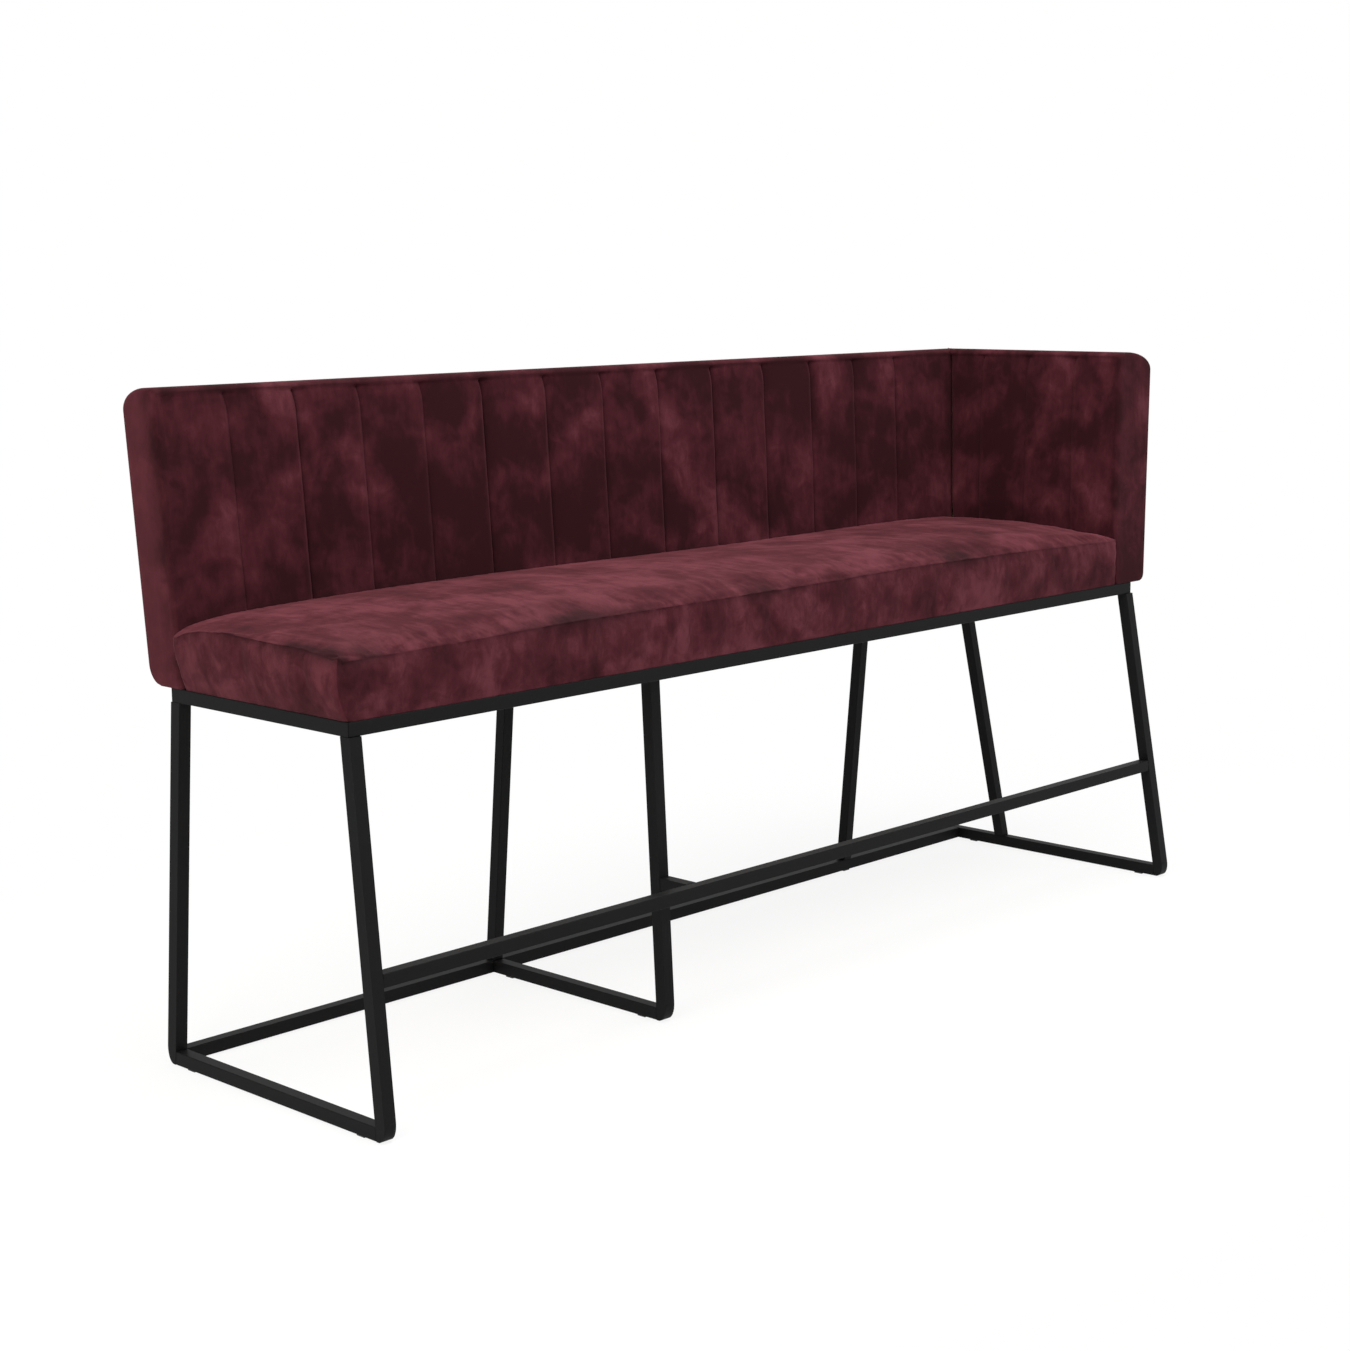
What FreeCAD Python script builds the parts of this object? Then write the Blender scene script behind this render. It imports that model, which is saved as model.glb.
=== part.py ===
"""Bar banquette: a long upholstered bench at counter height with one closed end.

A base of square steel tube carries a seat frame, and the seat frame carries a boxed cushion, a reclined
channelled back and a channelled arm panel at the right end. Lengths are in millimetres. While it is built,
X runs from the left feet to the right feet, Y from the front feet to the rear feet, and Z is up from the
floor. At the end everything is moved so that the origin is on the floor, under the middle of the whole bench.
"""
import FreeCAD, Part
import os

from FreeCAD import Vector

os.makedirs("parts", exist_ok=True)

# Steel tube
tube = 20.0
tube_wall = 1.5
foot_run = 16.0
foot_drop = 28.0

# Base layout, axis to axis
floor_length = 1880.0
floor_depth = 477.0
seat_frame_top = 563.0
front_lean_run = 51.0
rear_lean_run = 50.0
right_lean_run = 73.0
mid_frame_x = 621.0
mid_front_foot_y = 85.0
mid_front_top_y = 113.0
rear_support_x = 1519.0
right_rear_foot_y = 367.0
footrest_height = 218.0
second_cross_rail_x = 1213.0

# Floor glides
glide_height = 2.0
glide_width = 16.0
glide_inset = 45.0

# Fixing tabs welded to the seat frame, and their screws
tab_thickness = 4.0
tab_length = 32.0
tab_width = 36.0
screw_diameter = 4.5
screw_length = 16.0
screw_head_diameter = 9.0
screw_head_height = 3.0
screw_clearance = 0.15
deck_tab_count = 4
back_tab_count = 3
arm_tab_count = 2
tab_end_inset = 150.0
arm_tab_end_inset = 80.0

# Seat cushion
deck_thickness = 12.0
boxing_height = 79.0
boxing_wall = 3.0
boxing_draw = 1.5
seat_corner_radius = 10.0
crown_height = 39.0
crown_rear_rise = 36.0
crown_front_lip = 14.0
crown_place_shares = (0, 0.04, 0.12, 0.28, 0.5, 0.72, 0.88, 1)
crown_front_shares = (0.04, 0.28, 0.56, 0.84, 0.97, 0.93, 0.62, 0.3)
crown_rear_shares = (0.12, 0.62, 0.85, 0.97, 1, 0.95, 0.82, 0.68)
cushion_gap = 0.3

# Back panel
back_height = 418.5
back_thickness = 80.0
back_recline_share = 0.10
back_front_ahead = 17.0

# Arm panel
arm_thickness = 105.0
arm_recline_share = 0.112
arm_rake_share = 0.06
arm_inner_inboard = 51.0

# Build-up of both panels
pad_thickness = 24.0
board_thickness = 8.0
back_cover_thickness = 16.0
arm_cover_thickness = 17.0
end_wall = 14.0
end_round = 6.0
end_round_shares = ((0, 1), (0.293, 0.293), (1, 0))
back_top_run = 60.0
back_top_drop = 32.0
arm_top_run = 82.0
arm_top_drop = 32.0
top_front_radius = 10.0
back_bottom_radius = 28.0
arm_bottom_radius = 14.0
timber_height = 45.0
upright_width = 45.0
back_upright_count = 5
arm_upright_count = 3

# Sewn channels
channel_depth = 7.0
channel_roll = 34.0
channel_roll_draw = 4.0
back_seam_shares = (0, 0.081, 0.159, 0.239, 0.32, 0.409, 0.493, 0.58, 0.669, 0.757, 0.84, 0.92, 1)
back_first_channel = 126.0
back_last_channel = 151.0
back_seam_fan_share = 0.08
arm_seam_shares = (0, 0.5, 1)
arm_first_channel = 105.0
arm_last_channel = 56.0

# One overrun for every cut, and the weight of a quarter turn's corner
overrun = 5.0
turn_share = 0.5 ** 0.5

half = tube / 2
floor_rail_z = glide_height + half
seat_frame_bottom = seat_frame_top - tube
seat_front_y = front_lean_run
seat_rear_y = floor_depth - rear_lean_run
seat_right_x = floor_length - right_lean_run
seat_left_face = -half
seat_front_face = seat_front_y - half
back_front_y = seat_rear_y - back_front_ahead
arm_inner_x = seat_right_x - arm_inner_inboard


def largest(shape):
    """The largest solid that a cut has left."""
    return max(shape.Solids, key=lambda solid: solid.Volume)


def closed(shape):
    """A loft's solid with its faces turned outwards."""
    solid = shape.Solids[0]
    if solid.Volume < 0:
        solid.reverse()
    return solid


def quarter_turn(start, corner, end):
    """A quarter of an ellipse from one side of a corner to the other."""
    curve = Part.BezierCurve()
    curve.setPoles([start, corner, end])
    curve.setWeight(2, turn_share)
    return curve


def bar(start, end, bore_ends=(True, True)):
    """A square tube along X or Y between two axis points; a closed end keeps its wall."""
    run = end - start
    along_x = abs(run.x) > abs(run.y)
    length = run.Length
    size = (length, tube, tube) if along_x else (tube, length, tube)
    side = Vector(0, half, half) if along_x else Vector(half, 0, half)
    outer = Part.makeBox(*size, start - side)
    inner = tube - tube_wall - tube_wall
    first = -overrun if bore_ends[0] else tube_wall
    last = length + overrun if bore_ends[1] else length - tube_wall
    bore_length = last - first
    bore_size = (bore_length, inner, inner) if along_x else (inner, bore_length, inner)
    bore_side = Vector(0, inner / 2, inner / 2) if along_x else Vector(inner / 2, 0, inner / 2)
    direction = Vector(1, 0, 0) if along_x else Vector(0, 1, 0)
    return outer.cut(Part.makeBox(*bore_size, start + direction * first - bore_side))


class Post:
    """A leaning square post from a foot axis at floor-rail height to a top axis at the seat frame's top."""

    def __init__(self, foot, top, bottom, outer_side=None):
        self.foot = foot
        self.top = top
        self.bottom = bottom
        self.outer_side = outer_side

    def axis(self, height):
        """The post's axis point at a height above the floor."""
        share = (height - floor_rail_z) / (seat_frame_top - floor_rail_z)
        x = self.foot[0] + (self.top[0] - self.foot[0]) * share
        y = self.foot[1] + (self.top[1] - self.foot[1]) * share
        return Vector(x, y, height)

    def prism(self, x_low, x_high, y_low, y_high, low, high):
        """A rectangle about the axis, carried along it between two heights."""
        start = self.axis(low)
        corners = [start + Vector(x, y, 0) for x, y in
                   ((x_low, y_low), (x_high, y_low), (x_high, y_high), (x_low, y_high))]
        face = Part.Face(Part.makePolygon(corners + corners[:1]))
        return face.extrude(self.axis(high) - start)

    def trim(self, x_side, y_side):
        """What is cut off a bar that is welded to one side of the post: all beyond that side's face."""
        x_low = -half if x_side < 0 else -tube
        x_high = half if x_side > 0 else tube
        y_low = -half if y_side < 0 else -tube
        y_high = half if y_side > 0 else tube
        return self.prism(x_low, x_high, y_low, y_high, self.bottom - overrun, seat_frame_bottom)

    def foot_corner(self):
        """What is taken off a foot's outer edge: all outside a quarter of an ellipse."""
        side = Vector(-half - overrun, self.outer_side * half, 0)
        corner = self.axis(self.bottom) + side
        high = self.axis(self.bottom + foot_drop) + side
        low = corner - Vector(0, self.outer_side * foot_run, 0)
        curves = [quarter_turn(high, corner, low), Part.LineSegment(low, corner),
                  Part.LineSegment(corner, high)]
        face = Part.Face(Part.Wire([curve.toShape() for curve in curves]))
        return face.extrude(Vector(tube + overrun + overrun, 0, 0))

    def solid(self):
        """The tube; a post that reaches the floor ends in a plug with a rounded outer edge."""
        shape = self.prism(-half, half, -half, half, self.bottom, seat_frame_bottom)
        bore_start = self.bottom - overrun
        if self.outer_side is not None:
            bore_start = self.bottom + tube
            shape = shape.cut(self.foot_corner())
        reach = half - tube_wall
        return shape.cut(self.prism(-reach, reach, -reach, reach, bore_start, seat_frame_bottom + overrun))


# Base posts
rail_top = glide_height + tube
front_side = -1
rear_side = 1
left_side = -1
right_side = 1
left_front_post = Post((0, 0), (0, seat_front_y), glide_height, front_side)
left_rear_post = Post((0, floor_depth), (0, seat_rear_y), glide_height, rear_side)
mid_front_post = Post((mid_frame_x, mid_front_foot_y), (mid_frame_x, mid_front_top_y), glide_height,
                      front_side)
mid_rear_post = Post((mid_frame_x, floor_depth), (mid_frame_x, seat_rear_y), rail_top)
rear_support_post = Post((rear_support_x, floor_depth), (rear_support_x, seat_rear_y), rail_top)
right_front_post = Post((floor_length, 0), (seat_right_x, seat_front_y), glide_height, front_side)
right_rear_post = Post((floor_length, right_rear_foot_y), (seat_right_x, seat_rear_y), rail_top)

nodes = {
    "left_front_post": left_front_post.solid(),
    "left_rear_post": left_rear_post.solid(),
    "mid_front_post": mid_front_post.solid(),
    "mid_rear_post": mid_rear_post.solid(),
    "rear_support_post": rear_support_post.solid(),
    "right_front_post": right_front_post.solid(),
    "right_rear_post": right_rear_post.solid(),
}

# Floor rails, stretcher and footrest, each cut to the post that it is welded to
left_rail = bar(Vector(0, 0, floor_rail_z), Vector(0, floor_depth, floor_rail_z))
nodes["left_floor_rail"] = largest(left_rail.cut([left_front_post.trim(0, rear_side),
                                                left_rear_post.trim(0, front_side)]))

mid_rail = bar(Vector(mid_frame_x, mid_front_foot_y, floor_rail_z),
               Vector(mid_frame_x, floor_depth - half, floor_rail_z))
nodes["mid_floor_rail"] = largest(mid_rail.cut(mid_front_post.trim(0, rear_side)))

right_rail = bar(Vector(floor_length, 0, floor_rail_z),
                 Vector(floor_length, floor_depth + half, floor_rail_z), (True, False))
nodes["right_floor_rail"] = largest(right_rail.cut(right_front_post.trim(0, rear_side)))

stretcher = bar(Vector(0, floor_depth, floor_rail_z), Vector(floor_length - half, floor_depth, floor_rail_z))
nodes["floor_stretcher"] = largest(stretcher.cut(left_rear_post.trim(right_side, 0)))

footrest_y = left_front_post.axis(footrest_height).y
footrest = bar(Vector(0, footrest_y, footrest_height), Vector(floor_length, footrest_y, footrest_height))
nodes["footrest_bar"] = largest(footrest.cut([left_front_post.trim(right_side, 0),
                                             right_front_post.trim(left_side, 0)]))

stub = bar(Vector(mid_frame_x, footrest_y + half, footrest_height),
           Vector(mid_frame_x, mid_front_post.axis(footrest_height).y, footrest_height))
nodes["footrest_stub"] = largest(stub.cut(mid_front_post.trim(0, front_side)))

# Seat frame: four rails mitred at the corners, and cross rails between the long ones
seat_rail_z = seat_frame_top - half
seat_frame_right = seat_right_x + half
seat_rear_face = seat_rear_y + half


def mitred_rail(start, end, inward):
    """A square tube along one side of the seat frame, mitred at both ends; its outer edge is given."""
    along = (end - start).normalize()

    def outline(outer, inner, extra):
        """The plan between two distances from the outer edge, carried past the mitres by an extra length."""
        return [start + along * (outer - extra) + inward * outer,
                end - along * (outer - extra) + inward * outer,
                end - along * (inner - extra) + inward * inner,
                start + along * (inner - extra) + inward * inner]

    def prism(points, low, high):
        lifted = [point + Vector(0, 0, low) for point in points]
        return Part.Face(Part.makePolygon(lifted + lifted[:1])).extrude(Vector(0, 0, high - low))

    body = prism(outline(0, tube, 0), seat_frame_bottom, seat_frame_top)
    bore = prism(outline(tube_wall, tube - tube_wall, overrun), seat_frame_bottom + tube_wall,
                 seat_frame_top - tube_wall)
    return body.cut(bore)


front_left = Vector(seat_left_face, seat_front_face, 0)
front_right = Vector(seat_frame_right, seat_front_face, 0)
rear_left = Vector(seat_left_face, seat_rear_face, 0)
rear_right = Vector(seat_frame_right, seat_rear_face, 0)
nodes["seat_front_rail"] = mitred_rail(front_left, front_right, Vector(0, 1, 0))
nodes["seat_rear_rail"] = mitred_rail(rear_left, rear_right, Vector(0, -1, 0))
nodes["seat_left_rail"] = mitred_rail(front_left, rear_left, Vector(1, 0, 0))
nodes["seat_right_rail"] = mitred_rail(front_right, rear_right, Vector(-1, 0, 0))
for name, x in (("mid_cross_rail", mid_frame_x), ("second_cross_rail", second_cross_rail_x)):
    nodes[name] = bar(Vector(x, seat_front_y + half, seat_rail_z), Vector(x, seat_rear_y - half, seat_rail_z))

# Glides under the feet
glide_places = [(0, glide_inset), (0, floor_depth - glide_inset),
                (mid_frame_x, mid_front_foot_y + glide_inset), (mid_frame_x, floor_depth - glide_inset),
                (floor_length, glide_inset), (floor_length, floor_depth - glide_inset),
                (rear_support_x, floor_depth)]
glide_half = glide_width / 2
nodes["floor_glides"] = Part.makeCompound(
    [Part.makeBox(glide_width, glide_width, glide_height, Vector(x - glide_half, y - glide_half, 0))
     for x, y in glide_places])


def spread(first, last, count):
    """Evenly spaced places from the first to the last."""
    step = (last - first) / (count - 1)
    return [first + step * index for index in range(count)]


# Fixing tabs: each is a drilled plate flush with the frame's top, with a screw up through it
def tab(centre, along_x):
    """A plate whose middle is at a point of the frame's top plane, drilled for its screw."""
    size = (tab_length, tab_width) if along_x else (tab_width, tab_length)
    corner = centre - Vector(size[0] / 2, size[1] / 2, tab_thickness)
    plate = Part.makeBox(size[0], size[1], tab_thickness, corner)
    return plate.cut(screw_hole(centre))


def screw_hole(centre):
    """The hole that a tab's screw passes through, from below the tab to past the screw's tip."""
    radius = screw_diameter / 2 + screw_clearance
    return Part.makeCylinder(radius, screw_length + overrun, centre - Vector(0, 0, tab_thickness + overrun))


def screw(centre):
    """A screw with a tapered pan head, from the underside of a tab upwards."""
    under = centre - Vector(0, 0, tab_thickness)
    shank = Part.makeCylinder(screw_diameter / 2, screw_length, under)
    wide = screw_head_diameter / 2
    narrow = wide - screw_head_height / 2
    head = Part.makeCone(narrow, wide, screw_head_height, under - Vector(0, 0, screw_head_height))
    return shank.fuse(head).removeSplitter()


deck_front_tab_y = seat_front_y + half + tab_width / 2
deck_rear_tab_y = seat_rear_y - half - tab_width / 2
deck_tab_x = spread(tab_end_inset, seat_right_x - tab_end_inset, deck_tab_count)
deck_tab_y = (deck_front_tab_y, deck_rear_tab_y)
deck_tab_centres = [Vector(x, deck_tab_y[index % len(deck_tab_y)], seat_frame_top)
                    for index, x in enumerate(deck_tab_x)]
back_tab_y = seat_rear_y + half + tab_width / 2
back_tab_x = spread(tab_end_inset, seat_right_x - tab_end_inset, back_tab_count)
back_tab_centres = [Vector(x, back_tab_y, seat_frame_top) for x in back_tab_x]
arm_tab_x = seat_frame_right + tab_width / 2
arm_tab_y = spread(seat_front_y + arm_tab_end_inset, seat_rear_y - arm_tab_end_inset, arm_tab_count)
arm_tab_centres = [Vector(arm_tab_x, y, seat_frame_top) for y in arm_tab_y]

nodes["deck_tabs"] = Part.makeCompound([tab(centre, True) for centre in deck_tab_centres])
nodes["back_tabs"] = Part.makeCompound([tab(centre, True) for centre in back_tab_centres])
nodes["arm_tabs"] = Part.makeCompound([tab(centre, False) for centre in arm_tab_centres])
nodes["deck_screws"] = Part.makeCompound([screw(centre) for centre in deck_tab_centres])
nodes["panel_screws"] = Part.makeCompound([screw(centre) for centre in back_tab_centres + arm_tab_centres])


# Places on the two leaning panels: u along the panel, w into its thickness, v up from the seat frame
def on_back(u, w, v):
    """A point of the back: u is X, and the panel leans to the rear."""
    return Vector(u, back_front_y + w + back_recline_share * v, seat_frame_top + v)


def on_arm(u, w, v):
    """A point of the arm: u runs to the rear from its front end, which is raked less than the back."""
    return Vector(arm_inner_x + w + arm_recline_share * v,
                  seat_front_face + u + arm_rake_share * v, seat_frame_top + v)


def back_end(v):
    """Where the back stops against the arm's board, at a height."""
    return arm_inner_x + pad_thickness + arm_recline_share * v


def arm_corner(v):
    """Where the arm's inner face meets the back's front face, at a height."""
    return back_front_y - seat_front_face + (back_recline_share - arm_rake_share) * v


def arm_end(v):
    """Where the arm ends, level with the back's rear face."""
    return arm_corner(v) + back_thickness


def back_start(v):
    """The back's left end, level with the seat frame's left face."""
    return seat_left_face


def arm_start(v):
    """The arm's front end, level with the seat frame's front face."""
    return 0


def block(place, first, last, w_low, w_high, v_low, v_high):
    """A six-sided solid on a panel, between two ends that may lean, two depths and two heights."""
    def at(end, w, v):
        return place(end(v), w, v)
    round_it = ((first, w_low), (last, w_low), (last, w_high), (first, w_high))
    low = [at(end, w, v_low) for end, w in round_it]
    high = [at(end, w, v_high) for end, w in round_it]
    walls = [[low[i], low[(i + 1) % 4], high[(i + 1) % 4], high[i]] for i in range(4)]
    faces = [Part.Face(Part.makePolygon(loop + loop[:1])) for loop in [low, high] + walls]
    solid = Part.Solid(Part.makeShell(faces))
    if solid.Volume < 0:
        solid.reverse()
    return solid


def shifted(end, distance):
    """An end moved along the panel."""
    return lambda v: end(v) + distance


def rounded_profile(place, end, thickness, rear_run, rear_drop, low_radius, inset):
    """A panel's side outline at one place along it: straight runs, and quarter turns at three corners."""
    front = top_front_radius - inset
    run = rear_run - inset
    drop = rear_drop - inset
    low = low_radius - inset
    width = thickness - inset - inset
    height = back_height - inset - inset

    def at(w, v):
        return place(end(inset + v), inset + w, inset + v)

    outline = [
        Part.LineSegment(at(0, 0), at(0, height - front)),
        quarter_turn(at(0, height - front), at(0, height), at(front, height)),
        Part.LineSegment(at(front, height), at(width - run, height)),
        quarter_turn(at(width - run, height), at(width, height), at(width, height - drop)),
        Part.LineSegment(at(width, height - drop), at(width, low)),
        quarter_turn(at(width, low), at(width, 0), at(width - low, 0)),
        Part.LineSegment(at(width - low, 0), at(0, 0)),
    ]
    return Part.Wire([curve.toShape() for curve in outline])


def outer_cover(place, first, last, thickness, rear_edges, wall, inner_last):
    """The padded cover over a panel's rear, top and ends, open to the front and below for its frame."""
    stations = [(shifted(first, end_round * along), end_round * inward) for along, inward in end_round_shares]
    stations.append((last, 0))
    outlines = [rounded_profile(place, end, thickness, *rear_edges, inset) for end, inset in stations]
    body = closed(Part.makeLoft(outlines, True, True))
    hollow = block(place, shifted(first, end_wall), inner_last, -overrun, thickness - wall,
                   -overrun, back_height - wall)
    return body.cut(hollow)


def channel_wire(place, first, last, seams, v, draw):
    """A pad's plan outline at one height: shallow arcs between the seams, and a straight back."""
    marks = [first(v)] + seams + [last(v)]
    curves = []
    for left, right in zip(marks, marks[1:]):
        ends = [place(mark, channel_depth, v) for mark in (left, right)]
        crown = place((left + right) / 2, draw, v)
        curves.append(Part.Arc(ends[0], crown, ends[1]))
    corners = [place(marks[-1], channel_depth, v), place(marks[-1], pad_thickness, v),
               place(marks[0], pad_thickness, v), place(marks[0], channel_depth, v)]
    curves += [Part.LineSegment(a, b) for a, b in zip(corners, corners[1:])]
    return Part.Wire([curve.toShape() for curve in curves])


def channel_pad(place, first, last, top, first_seam, last_seam, fan_share, seam_shares):
    """A pad sewn into upright channels, drawn in a little where it rolls under the top."""
    levels = [(0, 0), (top - channel_roll, 0), (top, channel_roll_draw)]
    wires = []
    for v, draw in levels:
        run = last_seam + fan_share * v - first_seam
        seams = [first_seam + run * share for share in seam_shares]
        wires.append(channel_wire(place, first, last, seams, v, draw))
    return closed(Part.makeLoft(wires, True, True))


def timber_frame(place, first, last, depth_low, depth_high, inner_top, upright_count):
    """A panel's wooden frame: bottom rail, top rail and uprights between them."""
    bottom = block(place, first, last, depth_low, depth_high, 0, timber_height)
    top = block(place, first, last, depth_low, depth_high, inner_top - timber_height, inner_top)
    uprights = []
    for share in spread(0, 1, upright_count):
        def left(v, share=share):
            return first(v) + (last(v) - upright_width - first(v)) * share
        uprights.append(block(place, left, shifted(left, upright_width), depth_low, depth_high,
                              timber_height, inner_top - timber_height))
    return bottom, top, Part.makeCompound(uprights)


def drilled(shape, centres):
    """A piece with the holes of the screws that hold it."""
    return shape.cut([screw_hole(centre) for centre in centres])


board_depth = pad_thickness + board_thickness
back_inner_top = back_height - back_cover_thickness
arm_inner_top = back_height - arm_cover_thickness

# Back panel
back_inner_start = shifted(back_start, end_wall)
back_edges = (back_top_run, back_top_drop, back_bottom_radius)
nodes["back_outer_cover"] = largest(outer_cover(on_back, back_start, back_end, back_thickness, back_edges,
                                                back_cover_thickness, shifted(back_end, overrun)))
nodes["back_channel_pad"] = channel_pad(on_back, back_inner_start, back_end, back_inner_top,
                                        seat_left_face + back_first_channel, arm_inner_x - back_last_channel,
                                        back_seam_fan_share, back_seam_shares)
nodes["back_board"] = block(on_back, back_inner_start, back_end, pad_thickness, board_depth, 0,
                            back_inner_top)
back_timber = timber_frame(on_back, back_inner_start, back_end, board_depth,
                           back_thickness - back_cover_thickness, back_inner_top, back_upright_count)
nodes["back_bottom_rail"] = drilled(back_timber[0], back_tab_centres)
nodes["back_top_rail"] = back_timber[1]
nodes["back_uprights"] = back_timber[2]

# Arm panel
arm_inner_start = shifted(arm_start, end_wall)
arm_inner_end = shifted(arm_end, -arm_cover_thickness)
arm_edges = (arm_top_run, arm_top_drop, arm_bottom_radius)
arm_cover = outer_cover(on_arm, arm_start, arm_end, arm_thickness, arm_edges, arm_cover_thickness,
                        arm_inner_end)
back_passage = block(on_arm, arm_corner, shifted(arm_end, overrun), -overrun, pad_thickness,
                     -overrun, back_height + overrun)
arm_cover = arm_cover.cut(back_passage)
nodes["arm_outer_cover"] = largest(arm_cover)
arm_pad_end = shifted(arm_corner, -cushion_gap)
nodes["arm_channel_pad"] = channel_pad(on_arm, arm_inner_start, arm_pad_end, arm_inner_top, arm_first_channel,
                                       arm_corner(0) - arm_last_channel, 0, arm_seam_shares)
nodes["arm_board"] = block(on_arm, arm_inner_start, arm_inner_end, pad_thickness, board_depth, 0,
                           arm_inner_top)
arm_timber = timber_frame(on_arm, arm_inner_start, arm_inner_end, board_depth,
                          arm_thickness - arm_cover_thickness, arm_inner_top, arm_upright_count)
nodes["arm_bottom_rail"] = drilled(arm_timber[0], arm_tab_centres)
nodes["arm_top_rail"] = arm_timber[1]
nodes["arm_uprights"] = arm_timber[2]


# Seat cushion: its rear and right sides follow the leaning panels
def cushion_outline(height, inset):
    """The cushion's plan at a height above the seat frame, with rounded corners."""
    left = seat_left_face + inset
    front = seat_front_face + inset
    right = arm_inner_x + arm_recline_share * height - cushion_gap - inset
    rear = back_front_y + back_recline_share * height - cushion_gap - inset
    radius = seat_corner_radius - inset
    z = seat_frame_top + height
    corners = [Vector(left, front, z), Vector(right, front, z), Vector(right, rear, z), Vector(left, rear, z)]
    curves = []
    for index, corner in enumerate(corners):
        before = corners[index - 1]
        after = corners[(index + 1) % len(corners)]
        arrival = corner + (before - corner).normalize() * radius
        leaving = corner + (after - corner).normalize() * radius
        next_arrival = after - (after - corner).normalize() * radius
        curves.append(quarter_turn(arrival, corner, leaving))
        curves.append(Part.LineSegment(leaving, next_arrival))
    return Part.Wire([curve.toShape() for curve in curves])


def cushion_layer(low, high, inset):
    """A slab of the cushion between two heights above the seat frame."""
    return closed(Part.makeLoft([cushion_outline(low, inset), cushion_outline(high, inset)], True, True))


boxing_stations = ((0, boxing_draw), (boxing_height / 2, 0), (boxing_height, boxing_draw))
boxing_wires = [cushion_outline(height, inset) for height, inset in boxing_stations]
boxing = closed(Part.makeLoft(boxing_wires, True, False))
nodes["seat_boxing"] = largest(boxing.cut(cushion_layer(0, boxing_height, boxing_wall)))
nodes["seat_deck"] = drilled(cushion_layer(0, deck_thickness, boxing_wall), deck_tab_centres)
nodes["seat_foam"] = cushion_layer(deck_thickness, boxing_height, boxing_wall)


def crown_section(x, front_share, rear_share):
    """The top panel's cross-section at a place along the seat: a flat underside and one crowned arc."""
    base = seat_frame_top + boxing_height
    front = seat_front_face
    rear = back_front_y + back_recline_share * (boxing_height + crown_height)

    def at(y, rise):
        return Vector(x, y, base + rise)

    lip = crown_front_lip * front_share
    rear_rise = crown_rear_rise * rear_share
    middle = crown_height * rear_share
    corners = [at(front, 0), at(front, lip), at(rear, rear_rise), at(rear, 0)]
    curves = [Part.LineSegment(corners[0], corners[1]),
              Part.Arc(corners[1], at((front + rear) / 2, middle), corners[2]),
              Part.LineSegment(corners[2], corners[3]),
              Part.LineSegment(corners[3], corners[0])]
    return Part.Wire([curve.toShape() for curve in curves])


crown_left = seat_left_face
crown_right = arm_inner_x + arm_recline_share * (boxing_height + crown_height)
crown_wires = []
for place_share, front_share, rear_share in zip(crown_place_shares, crown_front_shares, crown_rear_shares):
    x = crown_left + (crown_right - crown_left) * place_share
    crown_wires.append(crown_section(x, front_share, rear_share))
crown = closed(Part.makeLoft(crown_wires, True, False))
crown_bound = cushion_layer(boxing_height, boxing_height + crown_height + overrun, boxing_draw)
nodes["seat_top_panel"] = largest(crown.common(crown_bound))

# The origin is on the floor under the middle of the bench
whole = Part.makeCompound(list(nodes.values())).optimalBoundingBox()
centre = Vector((whole.XMin + whole.XMax) / 2, (whole.YMin + whole.YMax) / 2, 0)
for name, shape in nodes.items():
    moved = shape.copy()
    moved.translate(-centre)
    moved.exportStep("parts/" + name + ".step")

print("moved by", -centre.x, -centre.y)
print("size", whole.XLength, whole.YLength, whole.ZLength)
for name, shape in nodes.items():
    print(name, len(shape.Solids), round(shape.Volume), shape.isValid())
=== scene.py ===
"""Looks of a bar banquette: velvet seat, channelled back and arm, and a powder-coated tube base.

Lengths are in metres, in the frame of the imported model: X along the bench, Y to the back, Z up from the floor.
"""

import bmesh
import bpy
import numpy as np
from bpy.props import FloatProperty, FloatVectorProperty, PointerProperty
from mathutils import Matrix, Vector


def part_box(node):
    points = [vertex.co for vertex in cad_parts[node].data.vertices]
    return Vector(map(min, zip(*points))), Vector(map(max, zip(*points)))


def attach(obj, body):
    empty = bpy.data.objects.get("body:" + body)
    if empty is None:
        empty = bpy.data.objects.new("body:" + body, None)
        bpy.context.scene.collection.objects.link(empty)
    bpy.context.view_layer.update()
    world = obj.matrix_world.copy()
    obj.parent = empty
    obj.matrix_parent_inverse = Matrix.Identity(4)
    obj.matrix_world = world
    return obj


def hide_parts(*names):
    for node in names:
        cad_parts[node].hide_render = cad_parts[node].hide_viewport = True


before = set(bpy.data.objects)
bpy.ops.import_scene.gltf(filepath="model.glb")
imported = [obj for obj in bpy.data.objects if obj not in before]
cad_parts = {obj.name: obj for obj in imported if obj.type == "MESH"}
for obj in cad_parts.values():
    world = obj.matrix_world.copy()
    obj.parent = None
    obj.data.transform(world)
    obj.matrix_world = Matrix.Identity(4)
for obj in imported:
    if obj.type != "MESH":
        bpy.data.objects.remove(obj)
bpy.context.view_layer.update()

bl_info = {
    "name": "Bar Banquette",
    "version": (1, 0, 0),
    "blender": (4, 5, 0),
    "location": "View3D > Sidebar > Banquette",
    "description": "Dresses the packed bench with velvet upholstery and a powder-coated base",
    "category": "Object",
}

SEAT_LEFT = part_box("seat_left_rail")[0].x
SEAT_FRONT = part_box("seat_front_rail")[0].y
FRAME_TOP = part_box("seat_front_rail")[1].z
BACK_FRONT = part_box("back_channel_pad")[0].y
ARM_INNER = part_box("arm_channel_pad")[0].x
DECK_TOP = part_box("seat_deck")[1].z

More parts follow.
